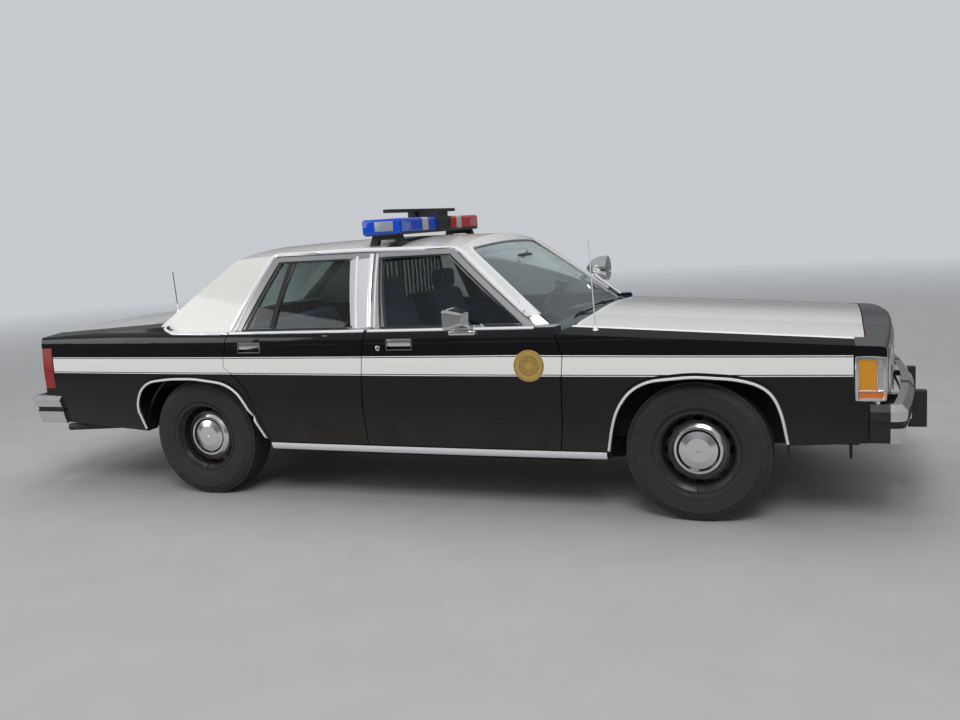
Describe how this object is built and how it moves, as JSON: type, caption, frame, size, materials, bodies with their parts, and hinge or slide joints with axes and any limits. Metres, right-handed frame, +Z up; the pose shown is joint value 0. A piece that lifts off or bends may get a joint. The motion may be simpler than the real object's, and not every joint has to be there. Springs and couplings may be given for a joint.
{
  "type": "police patrol car",
  "caption": "Full-size four-door saloon patrol car with opening doors, hood and deck lid, steered front wheels, roof lightbar and rear screen.",
  "frame": {"origin": "on the ground at the middle of the overall length and width", "axes": "+X towards the nose, +Y towards the car's left, +Z up"},
  "size_m": [5.355, 2.18, 1.624],
  "materials": {
    "tyre_rubber": "matt",
    "wheel_steel": "satin",
    "glass": "clear",
    "white_paint": "gloss",
    "chrome": "polished",
    "clear_lens": "ribbed",
    "red_lens": "gloss",
    "amber_lens": "gloss",
    "beacon_lens": "gloss",
    "black_plastic": "matt",
    "seat_vinyl": "grained",
    "cabin_plastic": "grained",
    "aerial_steel": "bright",
    "engine_iron": "rough",
    "black_paint": "gloss",
    "chassis_steel": "satin"
  },
  "bodies": {
    "body": {"body_side_left": "black_paint", "body_side_right": "black_paint", "chassis_frame": "chassis_steel", "corner_lamps": "amber_lens", "cowl": "black_plastic", "dashboard": "cabin_plastic", "engine": "engine_iron", "exhaust": "chassis_steel", "fender_aerial": "aerial_steel", "fender_left": "black_paint", "fender_right": "black_paint", "floor_pan": "chassis_steel", "front_bumper": "chrome", "front_structure": "chassis_steel", "fuel_tank": "chassis_steel", "header_panel": "chrome", "headlamps": "clear_lens", "lightbar_base": "black_plastic", "lightbar_lenses": "beacon_lens", "parcel_shelf": "cabin_plastic", "partition": "black_plastic", "rear_axle": "chassis_steel", "rear_bumper": "chrome", "rear_panel": "black_paint", "rear_window": "glass", "roof_panel": "white_paint", "seats": "seat_vinyl", "spotlight": "chrome", "steering_wheel": "black_plastic", "tail_lamps": "red_lens", "windshield": "glass"},
    "hood": {"hood": "white_paint"},
    "trunk_lid": {"trunk_lid": "white_paint"},
    "front_door_right": {"front_door_right": "black_paint", "front_door_glass_right": "glass", "mirror_right": "chrome"},
    "rear_door_right": {"rear_door_right": "black_paint", "rear_door_glass_right": "glass"},
    "knuckle_right": {"knuckle_right": "chassis_steel"},
    "front_wheel_right": {"tyre_front_right": "tyre_rubber", "wheel_front_right": "wheel_steel"},
    "rear_wheel_right": {"tyre_rear_right": "tyre_rubber", "wheel_rear_right": "wheel_steel"},
    "front_door_left": {"front_door_left": "black_paint", "front_door_glass_left": "glass", "mirror_left": "chrome"},
    "rear_door_left": {"rear_door_left": "black_paint", "rear_door_glass_left": "glass"},
    "knuckle_left": {"knuckle_left": "chassis_steel"},
    "front_wheel_left": {"tyre_front_left": "tyre_rubber", "wheel_front_left": "wheel_steel"},
    "rear_wheel_left": {"tyre_rear_left": "tyre_rubber", "wheel_rear_left": "wheel_steel"}
  },
  "joints": [
    {"name": "front_door_right_hinge", "type": "hinge", "parent": "body", "child": "front_door_right", "pos_m": [1.0175, -0.97138, 0.65], "axis": [0, 0, 1], "range_deg": [0, 65]},
    {"name": "rear_door_right_hinge", "type": "hinge", "parent": "body", "child": "rear_door_right", "pos_m": [-0.0725, -0.98195, 0.65], "axis": [0, 0, 1], "range_deg": [0, 65]},
    {"name": "front_door_left_hinge", "type": "hinge", "parent": "body", "child": "front_door_left", "pos_m": [1.0175, 0.97138, 0.65], "axis": [0, 0, -1], "range_deg": [0, 65]},
    {"name": "rear_door_left_hinge", "type": "hinge", "parent": "body", "child": "rear_door_left", "pos_m": [-0.0725, 0.98195, 0.65], "axis": [0, 0, -1], "range_deg": [0, 65]},
    {"name": "hood_hinge", "type": "hinge", "parent": "body", "child": "hood", "pos_m": [1.0275, 0, 0.992], "axis": [0, -1, 0], "range_deg": [0, 50]},
    {"name": "trunk_hinge", "type": "hinge", "parent": "body", "child": "trunk_lid", "pos_m": [-1.7425, 0, 1.0374], "axis": [0, 1, 0], "range_deg": [0, 60]},
    {"name": "right_steer", "type": "hinge", "parent": "body", "child": "knuckle_right", "pos_m": [1.6305, -0.72, 0.348], "axis": [0, 0, 1], "range_deg": [-32, 32]},
    {"name": "front_right_spin", "type": "hinge", "parent": "knuckle_right", "child": "front_wheel_right", "pos_m": [1.6305, -0.79, 0.348], "axis": [0, 1, 0], "continuous": true},
    {"name": "rear_right_spin", "type": "hinge", "parent": "body", "child": "rear_wheel_right", "pos_m": [-1.2725, -0.7875, 0.348], "axis": [0, 1, 0], "continuous": true},
    {"name": "left_steer", "type": "hinge", "parent": "body", "child": "knuckle_left", "pos_m": [1.6305, 0.72, 0.348], "axis": [0, 0, 1], "range_deg": [-32, 32]},
    {"name": "front_left_spin", "type": "hinge", "parent": "knuckle_left", "child": "front_wheel_left", "pos_m": [1.6305, 0.79, 0.348], "axis": [0, 1, 0], "continuous": true},
    {"name": "rear_left_spin", "type": "hinge", "parent": "body", "child": "rear_wheel_left", "pos_m": [-1.2725, 0.7875, 0.348], "axis": [0, 1, 0], "continuous": true}
  ],
  "couplings": [
    {"joint": "left_steer", "follows": "right_steer", "ratio": 1}
  ]
}
